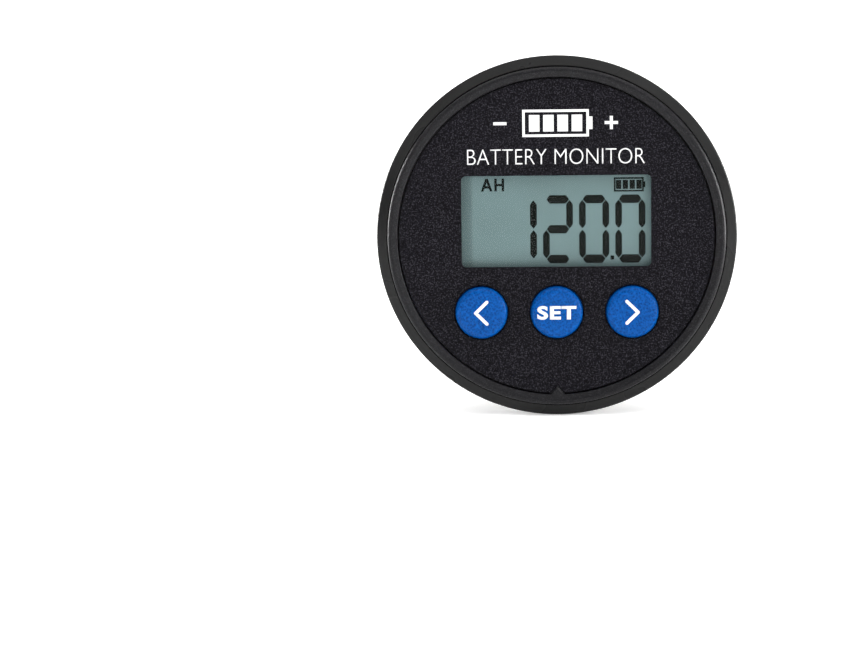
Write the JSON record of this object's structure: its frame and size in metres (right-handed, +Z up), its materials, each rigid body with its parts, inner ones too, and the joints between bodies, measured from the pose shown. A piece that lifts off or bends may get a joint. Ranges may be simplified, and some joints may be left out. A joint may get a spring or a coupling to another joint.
{
  "type": "battery monitor display head",
  "caption": "Round panel-mount display head with a segment LCD, three push buttons, a threaded barrel with a ring nut, and a rear data socket.",
  "frame": {"origin": "on the gauge axis, where the back of the panel gasket meets the panel", "axes": "+Y from the face to the back, along the barrel; the face looks to -Y; +Z up, as the legends read"},
  "size_m": [0.06, 0.027, 0.06],
  "materials": {
    "bezel_plastic": "satin moulded, fine grain",
    "ring_plastic": "satin moulded, fine grain",
    "face_plastic": "matte, fine pebble grain",
    "button_plastic": "satin moulded, fine grain",
    "case_plastic": "satin moulded",
    "nut_plastic": "satin moulded",
    "washer_plastic": "natural nylon, satin",
    "seal_rubber": "matte",
    "clear_window": "clear, polished",
    "display_glass": "clear, polished",
    "polariser_film": "grey-green film",
    "light_guide_acrylic": "clear acrylic",
    "white_film": "white reflective film",
    "holder_plastic": "white moulded",
    "contact_rubber": "striped silicone",
    "led_resin": "phosphor resin",
    "plunger_plastic": "satin moulded",
    "switch_plastic": "satin moulded",
    "plated_steel": "zinc plated",
    "tinned_metal": "tin plated",
    "board_laminate": "green solder resist over glass-fibre laminate",
    "chip_resin": "moulded resin",
    "crystal_can": "plated can",
    "capacitor_can": "bare can",
    "resistor_ceramic": "glazed ceramic",
    "socket_plastic": "moulded",
    "gold_contact": "gold plated",
    "legend_ink": "white screen print",
    "display_segment": "dark liquid-crystal segments"
  },
  "bodies": {
    "head": {"housing": "case_plastic", "trim_bezel": "bezel_plastic", "front_ring": "ring_plastic", "face_plate": "face_plastic", "front_seal": "seal_rubber", "panel_gasket": "seal_rubber", "display_lens": "clear_window", "front_polariser": "polariser_film", "front_glass": "display_glass", "rear_glass": "display_glass", "rear_polariser": "polariser_film", "light_guide": "light_guide_acrylic", "reflector": "white_film", "backlight_leds": "led_resin", "contact_strip": "contact_rubber", "display_holder": "holder_plastic", "main_board": "board_laminate", "board_screws": "plated_steel", "switch_bases": "switch_plastic", "switch_covers": "plated_steel", "switch_terminals": "tinned_metal", "microcontroller": "chip_resin", "line_transceiver": "chip_resin", "voltage_regulator": "chip_resin", "crystal": "crystal_can", "smoothing_capacitors": "capacitor_can", "chip_resistors": "resistor_ceramic", "data_socket": "socket_plastic", "socket_contacts": "gold_contact", "rear_cover": "case_plastic", "rear_cover_seal": "seal_rubber", "rear_cover_screws": "plated_steel"},
    "left_button": {"left_button": "button_plastic", "left_switch_plunger": "plunger_plastic"},
    "set_button": {"set_button": "button_plastic", "set_switch_plunger": "plunger_plastic"},
    "right_button": {"right_button": "button_plastic", "right_switch_plunger": "plunger_plastic"},
    "clamp_washer": {"clamp_washer": "washer_plastic"},
    "ring_nut": {"ring_nut": "nut_plastic"}
  },
  "joints": [
    {"name": "left_press", "type": "slide", "parent": "head", "child": "left_button", "axis": [0, 1, 0], "range_m": [0, 0.0003], "stiffness_N_per_m": 5000},
    {"name": "set_press", "type": "slide", "parent": "head", "child": "set_button", "axis": [0, 1, 0], "range_m": [0, 0.0003], "stiffness_N_per_m": 5000},
    {"name": "right_press", "type": "slide", "parent": "head", "child": "right_button", "axis": [0, 1, 0], "range_m": [0, 0.0003], "stiffness_N_per_m": 5000},
    {"name": "nut_advance", "type": "slide", "parent": "head", "child": "clamp_washer", "axis": [0, 1, 0], "range_m": [-0.003, 0.0138]},
    {"name": "nut_turn", "type": "hinge", "parent": "clamp_washer", "child": "ring_nut", "pos_m": [0, 0, 0], "axis": [0, 1, 0], "range_deg": [-360, 1656]}
  ],
  "couplings": [
    {"joint": "nut_advance", "follows": "nut_turn", "m_per_rad": 0.00047746}
  ]
}
